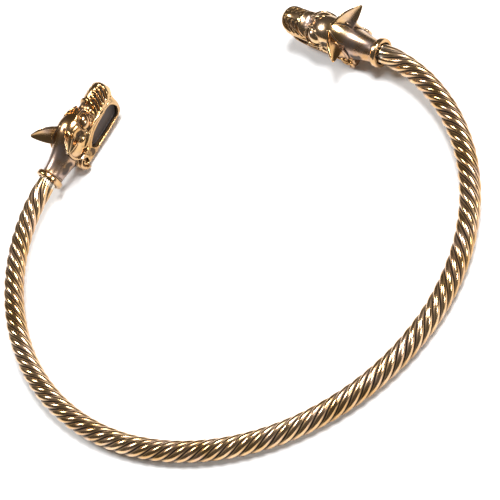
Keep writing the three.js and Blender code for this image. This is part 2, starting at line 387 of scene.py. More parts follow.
def carve(piece: Piece, cutter: Piece) -> None:
    """Cut one piece out of another and delete the cutter."""
    apply_modifier(piece, "BOOLEAN", operation="DIFFERENCE", solver="EXACT", object=cutter)
    bpy.data.objects.remove(cutter, do_unlink=True)


def hollows(piece: Piece, reach: int, full: float) -> Array:
    """Measure how deep in a hollow each point of a piece lies.

    Args:
        piece: The piece to measure.
        reach: How far to look round each point, in smoothing steps.
        full: Depth that counts as one.

    Returns:
        A value for each point, from minus one on a crest to one in a hollow.
    """
    mesh = piece.data
    places = coordinates(piece)
    edges = np.empty(len(mesh.edges) * 2, dtype=np.int64)
    mesh.edges.foreach_get("vertices", edges)
    first, second = edges.reshape(-1, 2).T
    share = np.bincount(np.concatenate([first, second]), minlength=len(places))[:, None]
    normals = np.empty(len(places) * 3)
    mesh.vertex_normals.foreach_get("vector", normals)
    soft = places.copy()
    for _ in range(reach):
        around = np.zeros_like(soft)
        for axis in range(3):
            around[:, axis] = np.bincount(first, soft[second, axis], len(soft)) + np.bincount(
                second, soft[first, axis], len(soft))
        soft = 0.5 * soft + 0.5 * around / share
    depth = ((soft - places) * normals.reshape(-1, 3)).sum(axis=1) / full
    return np.clip(depth, -1, 1)


def within(outline: Array, points: Array) -> Array:
    """Tell which points lie within a closed flat outline.

    Args:
        outline: The outline's corners, two columns.
        points: The points, two columns.

    Returns:
        True for each point inside.
    """
    inside = np.zeros(len(points), dtype=bool)
    for (ax, az), (bx, bz) in zip(outline, np.roll(outline, -1, axis=0)):
        if az == bz:
            continue
        crosses = (az > points[:, 1]) != (bz > points[:, 1])
        inside ^= crosses & (points[:, 0] < ax + (bx - ax) * (points[:, 1] - az) / (bz - az))
    return inside


# Where the ring lies


@dataclass
class Bend:
    """Bend of the hoop: the middle line of its bar, in the plane of the ring.

    The ring's own frame has its origin in the bar's middle at the back, X to the right,
    Y towards the heads and Z up from the side that the ring lies on.
    """

    length: float = 324.0
    half_turn: float = 2.237
    back_flatness: float = 0.163
    side_fullness: float = 0.205
    end_hook: float = 0.128
    hook_sharpness: int = 12
    samples: int = 2400
    track: Array = field(init=False)

    def __post_init__(self) -> None:
        """Add up the middle line once, from the back to the right end."""
        step = self.length / 2 / self.samples
        angles = self.heading((np.arange(self.samples) + 0.5) * step)
        steps = np.column_stack([np.cos(angles), np.sin(angles)]) * step
        self.track = np.vstack([[0, 0], np.cumsum(steps, axis=0)])

    def heading(self, along: Array) -> Array:
        """Direction of the bar.

        Args:
            along: Lengths along the bar from the back.

        Returns:
            The angle from X at each length.
        """
        u = np.asarray(along) / (self.length / 2)
        flat = self.back_flatness * np.sin(np.pi * u) / np.pi
        full = self.side_fullness * np.sin(2 * np.pi * u) / (2 * np.pi)
        hook = np.sign(u) * self.end_hook * np.abs(u) ** self.hook_sharpness
        return self.half_turn * u - flat - full + hook

    def middle(self, along: Array) -> Array:
        """Points of the bar's middle line.

        Args:
            along: Lengths along the bar from the back.

        Returns:
            The points, one row each.
        """
        along = np.atleast_1d(np.asarray(along, dtype=float))
        lengths = np.linspace(0, self.length / 2, self.samples + 1)
        x = np.interp(np.abs(along), lengths, self.track[:, 0]) * np.sign(along)
        y = np.interp(np.abs(along), lengths, self.track[:, 1])
        return np.column_stack([x, y, np.zeros(len(along))])


@dataclass
class Resting:
    """How the ring lies in the shared frame: tilted a little, with its back on the floor."""

    tilt: float
    shift: Array

    @classmethod
    def from_frame(cls, frame: dict, hoop_points: Array) -> "Resting":
        """Read the ring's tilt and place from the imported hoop.

        Args:
            hoop_points: Surface points of the hoop in the ring's own frame, in metres.

        Returns:
            The place of the ring.
        """
        cloud = coordinates(frame["nodes"]["twisted_hoop"])
        _, _, directions = np.linalg.svd(cloud - cloud.mean(axis=0), full_matrices=False)
        normal = directions[2] * np.sign(directions[2][2])
        tilt = math.atan2(-normal[1], normal[2])
        low, high = (np.array(corner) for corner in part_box("twisted_hoop"))
        turned = hoop_points @ cls.turning(tilt).T
        shift = (low + high) / 2 - (turned.min(axis=0) + turned.max(axis=0)) / 2
        return cls(tilt, shift)

    @staticmethod
    def turning(tilt: float) -> Array:
        """Rotation about X by the tilt."""
        c, s = math.cos(tilt), math.sin(tilt)
        return np.array([[1, 0, 0], [0, c, -s], [0, s, c]])

    def placed(self, points: Array) -> Array:
        """Points of the ring's own frame, in metres, moved to the shared frame."""
        return points @ self.turning(self.tilt).T + self.shift

    def turned(self, direction: Sequence[float]) -> Array:
        """A direction of the ring's own frame, turned to the shared frame."""
        return self.turning(self.tilt) @ np.array(direction)


# Finishes


class Nodes:
    """A short way to add shader nodes to one material."""

    def __init__(self, name: str) -> None:
        """Start an empty material with its output."""
        self.material = bpy.data.materials.new(name)
        self.material.use_nodes = True
        self.tree = self.material.node_tree
        self.tree.nodes.clear()
        self.output = self.tree.nodes.new("ShaderNodeOutputMaterial")

    def add(self, kind: str, inputs: dict | None = None, **settings: object) -> bpy.types.Node:
        """Add a node, set its values and link its inputs.

        Args:
            kind: Blender's name of the node, without the word Shader in front.
            inputs: Input name or number to a value, or to a socket that is linked to it.
            settings: Other properties of the node.

        Returns:
            The new node.
        """
        node = self.tree.nodes.new("ShaderNode" + kind)
        for key, value in settings.items():
            setattr(node, key, value)
        for key, value in (inputs or {}).items():
            if isinstance(value, Socket):
                self.tree.links.new(value, node.inputs[key])
            else:
                node.inputs[key].default_value = value
        return node

    def blend(self, share: Socket, low: object, high: object) -> Socket:
        """Mix two colours by a share."""
        pair = [end if isinstance(end, Socket) else (*end, 1) for end in (low, high)]
        return self.add("Mix", {0: share, 6: pair[0], 7: pair[1]}, data_type="RGBA").outputs[2]

    def spread(self, source: Socket, low: float, high: float, to_low: float, to_high: float) -> Socket:
        """Stretch a value from one range to another, held at both ends."""
        return self.add("MapRange", {0: source, 1: low, 2: high, 3: to_low, 4: to_high}).outputs[0]

    def maths(self, operation: str, first: object, second: object) -> Socket:
        """Combine two values."""
        return self.add("Math", {0: first, 1: second}, operation=operation).outputs[0]

    def noise(self, vector: Socket, scale: float, detail: float, roughness: float = 0.55) -> Socket:
        """Noise over a position."""
        inputs = {"Vector": vector, "Scale": scale, "Detail": detail, "Roughness": roughness}
        return self.add("TexNoise", inputs).outputs["Fac"]

    def mark(self, name: str) -> Socket:
        """A value that is kept at the points of a piece."""
        return self.add("Attribute", attribute_name=name).outputs["Fac"]

    def ragged(self, value: Socket, noise: Socket, reach: float, half_range: float = 0.2) -> Socket:
        """Move a value up and down with a noise, by a reach at most."""
        return self.maths("ADD", value, self.spread(noise, 0.5 - half_range, 0.5 + half_range, -reach, reach))

    def surfaced(self, inputs: dict) -> bpy.types.Material:
        """End the material in its surface shader, which has these inputs."""
        self.tree.links.new(self.add("BsdfPrincipled", inputs).outputs[0], self.output.inputs[0])
        return self.material


@dataclass(frozen=True)
class Bronze:
    """Polished bronze, with dark patina left where polishing doesn't reach, and on the heads painted shade
    with the patina in the mouth pockets, behind the lobes, by the collars and in the cheek and curl hollows.
    """

    name: str
    bright: Colour = (0.74, 0.49, 0.265)
    warm: Colour = (0.52, 0.30, 0.115)
    rosy: Colour = (0.70, 0.475, 0.365)
    patina: Colour = (0.013, 0.008, 0.005)
    # painted shade with patina: the greyish dark that fills the mouth pockets
    mouth_patina_and_shade: Colour = (0.085, 0.068, 0.062)
    solder: Colour = (0.64, 0.57, 0.47)
    neck_tint: Colour = (0.36, 0.27, 0.235)
    polish: float = 0.17
    dullness: float = 0.5
    hollow_start: float = 0.08
    hollow_full: float = 0.6
    hollow_raggedness: float = 0.08
    solder_raggedness: float = 0.35
    patina_and_shade_raggedness: float = 0.3
    mottle_scale: float = 170.0
    cloud_share: float = 0.35
    pit_scale: float = 2600.0
    pit_depth: float = 0.00002
    has_solder: bool = False
    has_neck: bool = False

    def material(self) -> bpy.types.Material:
        """Build the finish.

        Returns:
            The material.
        """
        nodes = Nodes(self.name)
        place = nodes.add("TexCoord").outputs["Object"]
        mottle = nodes.noise(place, self.mottle_scale, 4)
        cloud = nodes.noise(place, self.mottle_scale * self.cloud_share, 3)
        hollow = nodes.ragged(nodes.mark("hollow"), mottle, self.hollow_raggedness)
        dark = nodes.spread(hollow, self.hollow_start, self.hollow_full, 0, 1)
        metal = nodes.blend(nodes.spread(cloud, 0.4, 0.62, 0, 1), self.warm, self.bright)
        metal = nodes.blend(nodes.spread(mottle, 0.45, 0.7, 0, 0.6), metal, self.rosy)
        worn = nodes.spread(mottle, 0.3, 0.75, self.polish * 0.75, self.polish * 1.45)
        patina: object = self.patina
        if self.has_solder:
            patchy = nodes.ragged(nodes.mark("solder"), mottle, self.solder_raggedness)
            silvery = nodes.spread(patchy, 0.45, 0.6, 0, 1)
            metal = nodes.blend(silvery, metal, self.solder)
            dark = nodes.maths("MULTIPLY", dark, nodes.spread(silvery, 0, 1, 1, 0.35))
        if self.has_neck:
            neck, mouth = nodes.mark("neck"), nodes.mark("mouth")
            tinted = nodes.maths("MULTIPLY", neck, nodes.spread(mottle, 0.35, 0.6, 0.15, 0.9))
            metal = nodes.blend(tinted, metal, self.neck_tint)
            # painted shade behind the lobes, by the collars and in the cheek and curl hollows, ragged like
            # patina blotches, pulls the metal to the patina colour
            patina_and_shade_patches = nodes.ragged(nodes.mark("patina_and_painted_shade"), mottle, self.patina_and_shade_raggedness, 0.15)
            dark = nodes.maths("MAXIMUM", dark, nodes.spread(patina_and_shade_patches, 0.45, 0.62, 0, 0.85))
            # painted shade with patina over the whole mouth pocket, in the greyish mouth colour
            dark = nodes.maths("MAXIMUM", dark, mouth)
            patina = nodes.blend(mouth, self.patina, self.mouth_patina_and_shade)
            worn = nodes.maths("ADD", worn, nodes.spread(neck, 0, 1, 0, 0.1))
        rough = nodes.add("Mix", {0: dark, 2: worn, 3: self.dullness}, data_type="FLOAT")
        pits = nodes.noise(place, self.pit_scale, 3, 0.6)
        bump = nodes.add("Bump", {"Strength": 0.5, "Distance": self.pit_depth, "Height": pits})
        return nodes.surfaced({
            "Base Color": nodes.blend(dark, metal, patina), "Roughness": rough.outputs[0],
            "Metallic": nodes.spread(dark, 0.3, 1, 1, 0.5), "Normal": bump.outputs[0]})


@dataclass(frozen=True)
class FloorWithPaintedLightPool:
    """Matt pale floor, palest round the ring: a painted pool of light, with painted shade further out."""

    name: str = "floor_with_painted_light_pool"
    pale: Colour = (0.88, 0.88, 0.88)
    # painted shade: the grey that the floor darkens to away from the ring
    dim: Colour = (0.27, 0.27, 0.27)
    painted_light_pool_reach: float = 0.14
    painted_shade_reach: float = 0.45
    wave: float = 0.02

    def material(self) -> bpy.types.Material:
        """Build the finish.

        Returns:
            The material.
        """
        nodes = Nodes(self.name)
        place = nodes.add("TexCoord").outputs["Object"]
        reach = nodes.add("VectorMath", {0: place}, operation="LENGTH").outputs["Value"]
        wavy = nodes.ragged(reach, nodes.noise(place, 3, 2), self.wave)
        # painted light: a pale pool round the ring, darkening to painted shade further out
        share = nodes.spread(wavy, self.painted_light_pool_reach, self.painted_shade_reach, 0, 1)
        return nodes.surfaced({"Base Color": nodes.blend(share, self.pale, self.dim), "Roughness": 0.9})


# The hoop


@dataclass
class TwistedHoop:
    """The bar of six strands, twisted left-handed and soldered at both ends. Millimetres."""

    bend: Bend
    radius: float = 3.25
    strands: int = 6
    lead: float = 24.0
    strand_centre: float = 0.6
    strand_round: float = 0.4
    straight_end: float = 10.0
    straight_share: float = 0.12
    solder_length: float = 5.0
    solder_fill: float = 0.55
    crease_angle: float = 70.0
    station_step: float = 0.55
    points_per_strand: int = 14

    def strand_turn(self, along: Array) -> Array:
        """Turn of the strands about the bar, easing off towards both ends.

        Args:
            along: Lengths along the bar from the back.

        Returns:
            The angle at each length.
        """
        full = self.bend.length / 2 - self.straight_end
        into = np.maximum(0, np.abs(along) - full)
        lost = (1 - self.straight_share) * into * into / self.straight_end / 2
        return -np.sign(along) * FULL_TURN * (np.abs(along) - lost) / self.lead

    def strand_surface(self, angle: Array) -> Array:
        """Distance of the surface from the bar's middle, at an angle from a strand's top."""
        across = self.strand_centre * np.sin(angle)
        return self.radius * (self.strand_centre * np.cos(angle) + np.sqrt(self.strand_round**2 - across**2))

    def offsets(self) -> Array:
        """Angles across one strand, closer together near its grooves.

        Returns:
            The angles, from one groove to just before the next.
        """
        half = math.pi / self.strands
        share = np.linspace(-1, 1, self.points_per_strand, endpoint=False)
        return half * np.sin(share * math.pi / 2)

    def rings(self) -> tuple[Array, Array, Array]:
        """Rings of surface points along the bar.

        Returns:
            The rings in millimetres in the ring's own frame, the depth of each point in its
            groove, and its share of solder.
        """
        count = round(self.bend.length / self.station_step)
        along = np.linspace(-0.5, 0.5, count + 1) * self.bend.length
        middles = self.bend.middle(along)
        headings = self.bend.heading(along)
        outward = np.column_stack([np.sin(headings), -np.cos(headings), np.zeros(len(along))])
        offsets = np.tile(self.offsets(), self.strands)
        tops = np.repeat(np.arange(self.strands), self.points_per_strand) * FULL_TURN / self.strands
        radii = self.strand_surface(offsets)
        depth = (self.radius - radii) / (self.radius - radii.min())
        to_end = self.bend.length / 2 - np.abs(along)
        solder = np.clip(1 - to_end / self.solder_length, 0, 1)
        filled = radii[None, :] + (self.radius - radii)[None, :] * self.solder_fill * solder[:, None]
        turns = self.strand_turn(along)[:, None] + (tops + offsets)[None, :]
        rings = middles[:, None, :] + filled[:, :, None] * (
            np.cos(turns)[:, :, None] * UP + np.sin(turns)[:, :, None] * outward[:, None, :])
        return rings, np.tile(depth, (len(along), 1)), np.tile(solder[:, None], (1, len(offsets)))

    def surface(self) -> Array:
        """Surface points in metres, in the ring's own frame."""
        return self.rings()[0].reshape(-1, 3) * MM

    def build(self, resting: Resting) -> Piece:
        """Model the hoop.

        Args:
            resting: Where the ring lies.

        Returns:
            The finished hoop.
        """
        rings, depth, solder = self.rings()
        places = resting.placed(rings.reshape(-1, 3) * MM).reshape(rings.shape)
        piece = skinned("twisted_hoop_bronze", places, marks={"hollow": depth, "solder": solder})
        pick(piece)
        bpy.ops.object.shade_smooth_by_angle(angle=math.radians(self.crease_angle))
        return piece


# The heads


@dataclass
class DragonHead:
    """A cast dragon head, looking along X with its crown up. Millimetres from its collar's mouth."""

    bend: Bend
    bar_radius: float = 3.25
    socket_depth: float = 1.1
    seat_gap: float = 0.3
    collar_width: float = 2.1
    collar_radius: float = 4.75
    collar_soft: float = 0.6
    neck_radius: float = 3.7
    length: float = 37.0
    crown_height: float = 9.9
    throat_depth: float = 4.2
    cheek_half_width: float = 5.6
    snout_half_width: float = 4.5
    skull_sides: int = 144
    skull_step: float = 0.1
    right_roll: float = 9.0
    left_roll: float = -5.0
    pitch: float = 3.0
    wrinkle_start: float = 29.8
    wrinkle_pitch: float = 1.6
    wrinkle_count: int = 4
    wrinkle_depth: float = 1.15
    wrinkle_slant: float = 0.75
    wrinkle_turn: float = 2.4
    wrinkle_bend: float = 0.12
    wrinkle_foot: float = 3.7
    wrinkle_rim: float = 0.5
    nose_start: float = 25.9
    nose_trough: float = 0.75
    jaw_half_width: float = 4.3
    jaw_flare: float = 1.28
    jaw_back_bottom: float = 5.9
    jaw_front_bottom: float = 4.2
    jaw_back: float = 9.8
    jaw_front: float = 35.2
    jaw_bevel: float = 1.2
    mouth_back: float = 18.0
    mouth_web: float = 2.7
    lip_radius: float = 0.3
    curl_x: float = 12.8
    curl_z: float = -2.95
    curl_radius: float = 2.6
    curl_tube: float = 0.62
    curl_turns: float = 1.45
    curl_ground: Point = (2.3, 1.3, 2.3)
    ear_root: Point = (14.0, 2.9, 6.6)
    ear_tip: Point = (9.0, 9.8, 9.3)
    ear_reach: float = 6.2
    ear_bow: float = 0.3
    ear_leaf: tuple[Flat, ...] = (
        (0.15, 0.56), (0.1, 0.58), (0.03, 0.5), (-0.05, 0.25), (-0.17, 0.0), (-0.36, -0.22), (-0.42, -0.3),
        (-0.37, -0.36), (0.04, -0.4), (0.44, -0.36), (0.5, -0.3), (0.45, -0.22), (0.31, -0.04), (0.4, 0.1),
        (0.37, 0.16), (0.22, 0.24), (0.18, 0.42))
    fold_line: tuple[Flat, ...] = ((15.9, 8.8), (15.4, 7.6), (15.0, 6.0), (14.9, 4.4), (15.4, 3.0))
    fold_radius: float = 0.6
    lobe_place: Point = (13.4, 4.2, 2.6)
    lobe_size: Point = (3.0, 1.9, 3.2)
    lobe_line: tuple[Point, ...] = (
        (12.6, 3.4, 7.8), (11.3, 4.0, 5.8), (10.5, 4.7, 3.6), (10.6, 5.1, 1.4), (11.6, 5.3, -0.2),
        (13.4, 5.6, -0.9), (15.4, 5.7, -0.7), (17.4, 5.4, -0.1))
    lobe_rim: float = 0.42
    cheek_place: Flat = (17.4, 5.2)
    cheek_depth: float = 1.6
    band_line: tuple[Flat, ...] = (
        (15.6, 0.8), (17.6, 1.4), (20.0, 2.5), (23.0, 3.3), (26.5, 3.2), (30.0, 3.1), (33.4, 3.4),
        (34.6, 4.4))
    band_radii: tuple[Flat, ...] = ((0, 0.5), (0.12, 1.0), (0.3, 1.15), (0.5, 0.85), (0.75, 0.62), (1, 0.5))
    eye_place: Point = (22.2, 4.0, 6.6)
    eye_length: float = 8.6
    eye_width: float = 6.8
    eye_rim: float = 0.4
    eye_inner_rim: float = 0.2
    eye_tilt: float = 35.0
    eye_lean: float = 45.0
    almond: tuple[Flat, ...] = (
        (0.0, -0.5), (0.22, -0.38), (0.46, -0.12), (0.48, 0.12), (0.28, 0.36), (0.0, 0.5), (-0.28, 0.36),
        (-0.48, 0.12), (-0.46, -0.12), (-0.22, -0.38))
    line_points: int = 70
    loop_points: int = 80
    rough_grain: float = 0.2
    fine_grain: float = 0.14
    kept_share: float = 0.62
    hollow_reach: int = 60
    hollow_depth: float = 0.26

    def __post_init__(self) -> None:
        """Draw the head's top, bottom and side lines."""
        neck, end = self.neck_radius, self.length
        self.top = smooth_profile([
            (0, neck), (3, neck), (6, 4.4), (10, 6.2), (13, 8.2), (16, 9.5), (18.5, self.crown_height),
            (21, 9.6), (23.5, 8.5), (25.5, 7.6), (27.2, 7.5), (28.6, 8.1), (31, 8.8), (34, 9.0),
            (end - 1.1, 8.4), (end - 0.3, 7.4), (end, 6.2)])
        self.bottom = smooth_profile([
            (0, -neck), (3, -neck), (8, -3.9), (13, -self.throat_depth), (16, -3.4), (20, -0.8), (24, 1.0),
            (28, 1.8), (32, 2.2), (end - 1.5, 2.8), (end, 4)])
        self.side = smooth_profile([
            (0, neck), (3, neck), (7, 4.2), (11, 5.0), (14, 5.5), (17, self.cheek_half_width), (20, 5.2),
            (24, 4.5), (27, 4.1), (29, self.snout_half_width), (33, self.snout_half_width),
            (end - 1.4, 3.9), (end, 2.4)])
        self.squareness = smooth_profile([(0, 1), (12, 1), (16, 0.9), (22, 0.9), (28, 1), (end, 1)])
        self.widest_level = smooth_profile([(0, 0.42), (22, 0.42), (29, 0.28), (end, 0.32)])

    def carved(self, x: float, z: Array, across: Array) -> Array:
        """Depth carved into the skull: side wrinkles, a rim behind them, a nose trough, a cheek hollow.

        Args:
            x: Length along the head.
            z: Heights of the points.
            across: Places of the points from the middle to the sides, from nought to one.

        Returns:
            The depth at each point, negative on the raised rim.
        """
        drop = self.top(x) - z
        back = self.wrinkle_slant * drop + self.wrinkle_bend * np.maximum(0, self.wrinkle_turn - drop) ** 2
        along = (x + back - self.wrinkle_start) / self.wrinkle_pitch
        inside = (along > 0) & (along < self.wrinkle_count)
        waves = np.where(inside, np.abs(np.sin(np.pi * along)) ** 1.3, 0)
        grooves = waves * self.wrinkle_depth * rise(drop - 0.1, 0.4)
        rim = self.wrinkle_rim * np.exp(-((along + 0.3) / 0.38) ** 2)
        trough = self.nose_trough * np.exp(-((x - self.nose_start) / 1.5) ** 2)
        cheek = spot(x, z, self.cheek_place, (1.7, 1.7)) * rise(2.5 * across - 0.8, 1)
        return ((grooves - rim) * rise(z - self.wrinkle_foot, 0.5) + trough * rise(1.5 - 2.2 * across, 1)
                + self.cheek_depth * cheek)

    def middle_height(self, x: float) -> float:
        """Height of the widest level of the skull."""
        return self.bottom(x) + self.widest_level(x) * (self.top(x) - self.bottom(x))

    def skull_side(self, x: float, z: float) -> float:
        """Half width of the skull at a place in the side view.

        Args:
            x: Length along the head.
            z: Height.

        Returns:
            The half width.
        """
        middle = self.middle_height(x)
        reach = self.top(x) - middle if z > middle else middle - self.bottom(x)
        power = self.squareness(x)
        share = min(abs(z - middle) / reach, 0.995)
        return self.side(x) * (1 - share ** (2 / power)) ** (power / 2)

    def skull(self) -> Piece:
        """Model the neck, cheeks, brow and snout as one smooth form.

        Returns:
            The closed form.
        """
        angles = FULL_TURN * np.arange(self.skull_sides) / self.skull_sides
        cosines, sines = np.cos(angles), np.sin(angles)
        rings = []
        for x in np.arange(self.collar_width - 0.6, self.length + 0.01, self.skull_step):
            power = self.squareness(x)
            across = np.sign(cosines) * np.abs(cosines) ** power
            lift = np.sign(sines) * np.abs(sines) ** power
            middle = self.middle_height(x)
            z = middle + np.where(lift > 0, self.top(x) - middle, middle - self.bottom(x)) * lift
            relief = self.carved(x, z, np.abs(across))
            rings.append(np.column_stack([
                np.full(self.skull_sides, x), self.side(x) * across - relief * cosines,
                z - relief * np.clip(sines, 0, 1)]))
        return skinned("skull", np.array(rings))

    def collar(self) -> Piece:
        """Model the collar bead, with the shallow seat for the end of the bar.

        Returns:
            The collar.
        """
        seat = self.bar_radius + self.seat_gap
        width, radius, soft = self.collar_width, self.collar_radius, self.collar_soft
        axis, corner = 0.01, radius - 0.15
        outline = [
            (axis, self.socket_depth), (seat, self.socket_depth), (seat, 0.0), (radius - soft, 0.0),
            (corner, soft * 0.4), (radius, soft), (radius, width - soft), (corner, width - soft * 0.4),
            (radius - soft, width), (axis, width)]
        turns = FULL_TURN * np.arange(64) / 64
        rings = [np.column_stack([np.full(64, x), r * np.cos(turns), r * np.sin(turns)]) for r, x in outline]
        return skinned("collar", np.array(rings))

    def flare(self, x: Array) -> Array:
        """How much wider than its front end the jaw strap is."""
        share = rise(x - self.jaw_back, self.jaw_front - self.jaw_back)
        return self.jaw_flare + (1 - self.jaw_flare) * np.sqrt(share)

    def jaw(self) -> Piece:
        """Model the jaw strap from its side view, wider at its back end.

        Returns:
            The strap.
        """
        back, front = self.jaw_back, self.jaw_front
        low, high = -self.jaw_back_bottom, -self.jaw_front_bottom
        outline = smooth_path([
            (back + 2, 1), (back + 0.1, -1.6), (back, -3.6), (back + 0.6, -5.2), (back + 2, low + 0.1),
            (back + 3.6, low), (back + 12, (low + high) / 2 - 0.1), (front - 5, high),
            (front - 2.4, high + 0.2), (front - 0.7, high + 1.5), (front, high + 3.6), (front, 2.0),
            (front - 0.3, 5), (front - 4, 5)], 90)
        piece = side_plate("jaw", outline, -self.jaw_half_width, self.jaw_half_width)
        apply_modifier(piece, "BEVEL", width=self.jaw_bevel, segments=4, limit_method="ANGLE",
                       angle_limit=math.radians(60))
        places = coordinates(piece)
        places[:, 1] *= self.flare(places[:, 0])
        set_coordinates(piece, places)
        return piece

    def mouth_outline(self, grow: float = 0.0) -> Array:
        """Outline of the open mouth in the side view.

        Args:
            grow: How much larger than the hollow the outline is.

        Returns:
            The closed outline, X and Z.
        """
        back, front = self.mouth_back, self.jaw_front - 1.3
        floor = -self.jaw_front_bottom + 0.9
        return smooth_path([
            (back - grow, -1.9), (back + 1.2, -3.9 - grow), (back + 5, -4.1 - grow),
            (front - 4, floor - 0.1 - grow), (front - 1.4, floor + 0.5 - grow), (front + grow, floor + 2.6),
            (front - 1.2, 2.2 + grow), (front - 4, 2.3 + grow), (back + 7, 1.7 + grow),
            (back + 3, 0.5 + grow)], self.loop_points, closed=True)

    def cutters(self) -> list[Piece]:
        """Model what is cut out: the mouth's hollows, those of the eyes, and the spirals' sunk ground.

        Returns:
            The cutters, in the order of carving.
        """
        deep = self.cheek_half_width + 2
        pieces = [side_plate("mouth_cut", self.mouth_outline(), self.mouth_web, deep),
                  side_plate("mouth_cut", self.mouth_outline(), -deep, -self.mouth_web)]
        for side in BOTH_SIDES:
            turn = self.eye_turn(side)
            eye = mirrored(self.eye_place, side) + np.array(turn)[:, 2] * 1.2
            pieces.append(pebble("eye_cut", eye, (self.eye_width * 0.45, self.eye_length * 0.45, 2.1), turn))
            curl = (self.curl_x, side * (self.jaw_half_width * self.jaw_flare + 0.5), self.curl_z)
            pieces.append(pebble("curl_cut", curl, self.curl_ground))
        return pieces

    def strap_side(self, x: float, z: float) -> float:
        """Half width of the head where the jaw strap and the skull meet the side view.

        Args:
            x: Length along the head.
            z: Height.

        Returns:
            The half width.
        """
        strap = self.jaw_half_width * float(self.flare(np.array(x)))
        if self.bottom(x) < z < self.top(x):
            return max(strap, self.skull_side(x, z))
        return strap

    def lip_rims(self) -> list[Piece]:
        """Model the thin raised rim round each mouth hollow.

        Returns:
            Both rims.
        """
        rims = []
        outline = self.mouth_outline(0.25)
        for side in BOTH_SIDES:
            path = np.array([(x, side * (self.strap_side(x, z) - 0.1), z) for x, z in outline])
            for _ in range(3):
                path = (np.roll(path, 1, axis=0) + 2 * path + np.roll(path, -1, axis=0)) / 4
            rims.append(tube("lip_rim", path, [self.lip_radius] * len(path), closed=True))
        return rims

    def ear(self, side: int) -> Piece:
        """Model an ear as a sharp-edged leaf: a wide hollow behind, a ridge between two in front.

        Args:
            side: One of BOTH_SIDES.

        Returns:
            The ear.
        """
        root, tip = mirrored(self.ear_root, side), mirrored(self.ear_tip, side)
        axis = (tip - root) / np.linalg.norm(tip - root)
        upward = UP - axis * axis[2]
        upward /= np.linalg.norm(upward)
        forward = np.cross(axis, upward) * side
        ahead, above = (smooth_path(self.ear_leaf, 90, closed=True) * self.ear_reach).T
        rings = []
        for share in np.linspace(-0.35, 1.0, 60):
            out = max(share, 0)
            size = 1 - 0.86 * out ** 1.9
            middle = root + (tip - root) * share + upward * self.ear_bow * math.sin(math.pi * min(out, 1))
            rings.append(middle + np.outer(ahead * size, forward) + np.outer(above * size, upward))
        return skinned("ear", np.array(rings))

    def eye_turn(self, side: int) -> Matrix:
        """Axes of an eye.

        Args:
            side: One of BOTH_SIDES.

        Returns:
            As columns, the ways across it, along it to its upper corner, and out of the head.
        """
        tilt, lean = math.radians(self.eye_tilt), math.radians(self.eye_lean)
        out = Vector((0.05, side * math.cos(tilt), math.sin(tilt))).normalized()
        slope = Vector((0, -side * math.sin(tilt), math.cos(tilt)))
        up = Vector((1, 0, 0)) * math.sin(lean) + slope * math.cos(lean)
        across = up.cross(out).normalized()
        return Matrix((across, out.cross(across), out)).transposed()

    def eye_pieces(self, side: int) -> list[Piece]:
        """Model the bed, the double rim and the ball of one eye.

        Args:
            side: One of BOTH_SIDES.

        Returns:
            The four pieces.
        """
        turn = self.eye_turn(side)
        axes = np.array(turn)
        centre = mirrored(self.eye_place, side)
        long, wide, edge = self.eye_length, self.eye_width, 2 * self.eye_rim

        def almond_path(length: float, width: float, height: float) -> Array:
            """Loop on the eye's face, pointed at both ends."""
            across, along = (smooth_path(self.almond, self.loop_points, closed=True) * (width, length)).T
            out = height - 0.085 * along**2 - 0.03 * across**2
            return np.column_stack([across, along, out]) @ axes.T + centre

        outer = almond_path(long - edge, wide - edge, 0.55)
        inner = almond_path(long * 0.7, wide * 0.66, 0.0)
        return [
            pebble("eye_bed", centre - axes[:, 2] * 1.9, (wide * 0.48, long * 0.48, 2.0), turn),
            tube("eye_rim", outer, [self.eye_rim] * len(outer), 14, closed=True),
            tube("eye_inner_rim", inner, [self.eye_inner_rim] * len(inner), closed=True),
            pebble("eye_ball", centre - axes[:, 2] * 0.75, (wide * 0.3, long * 0.31, 1.7), turn)]

    def curl(self, side: int) -> Piece:
        """Model the spiral at the back of the jaw.

        Args:
            side: One of BOTH_SIDES.

        Returns:
            The spiral.
        """
        share = np.linspace(0, 1, self.line_points)
        angle = -math.pi * 0.5 - share * self.curl_turns * FULL_TURN
        radius = self.curl_radius * (1 - 0.78 * share)
        y = side * (self.jaw_half_width * self.jaw_flare + 0.3 - 0.1 * share)
        x, z = self.curl_x + radius * np.cos(angle), self.curl_z + radius * np.sin(angle)
        return tube("curl", np.column_stack([x, y, z]), self.curl_tube * (1 - 0.4 * share))

    def side_pieces(self, side: int) -> list[Piece]:
        """Model all that stands out on one side of the head.

        Args:
            side: One of BOTH_SIDES.

        Returns:
            The ear and the fold below it, the lobe and its rim, the spiral, the band that runs from
            the cheek along the lip, and the eye.
        """
        count = self.line_points
        fold = [(x, side * (self.skull_side(x, z) - 0.3), z) for x, z in self.fold_line]
        band = [(x, side * (self.strap_side(x, z) - 0.25), z) for x, z in self.band_line]
        rim = [mirrored(place, side) for place in self.lobe_line]
        fold_radii = self.fold_radius * np.sin(np.linspace(0.3, math.pi - 0.3, 50))
        rim_radii = self.lobe_rim * np.clip(np.sin(np.linspace(0.12, math.pi - 0.12, count)) * 2.4, 0.25, 1)
        band_radii = np.interp(np.linspace(0, 1, count), *zip(*self.band_radii))
        return [
            self.ear(side), tube("ear_fold", smooth_path(fold, 50), fold_radii, 14),
            pebble("lobe", mirrored(self.lobe_place, side), self.lobe_size, segments=48),
            tube("lobe_rim", smooth_path(rim, count), rim_radii), self.curl(side),
            tube("cheek_band", smooth_path(band, count), band_radii, 16), *self.eye_pieces(side)]

    def build_form(self) -> Piece:
        """Model one head about its own origin, in millimetres.

        Returns:
            The casting as one skin, with the marks that its finish reads.
        """
        body = fused([self.skull(), self.jaw()], "head")
        cast(body, self.rough_grain, 2)
        for cutter in self.cutters():
            carve(body, cutter)
        parts = [body, self.collar(), *self.lip_rims()]
        for side in BOTH_SIDES:
            parts += self.side_pieces(side)
        form = fused(parts, "head")
        cast(form, self.fine_grain, 1)
        apply_modifier(form, "DECIMATE", ratio=self.kept_share)
        self.mark(form)
        return form

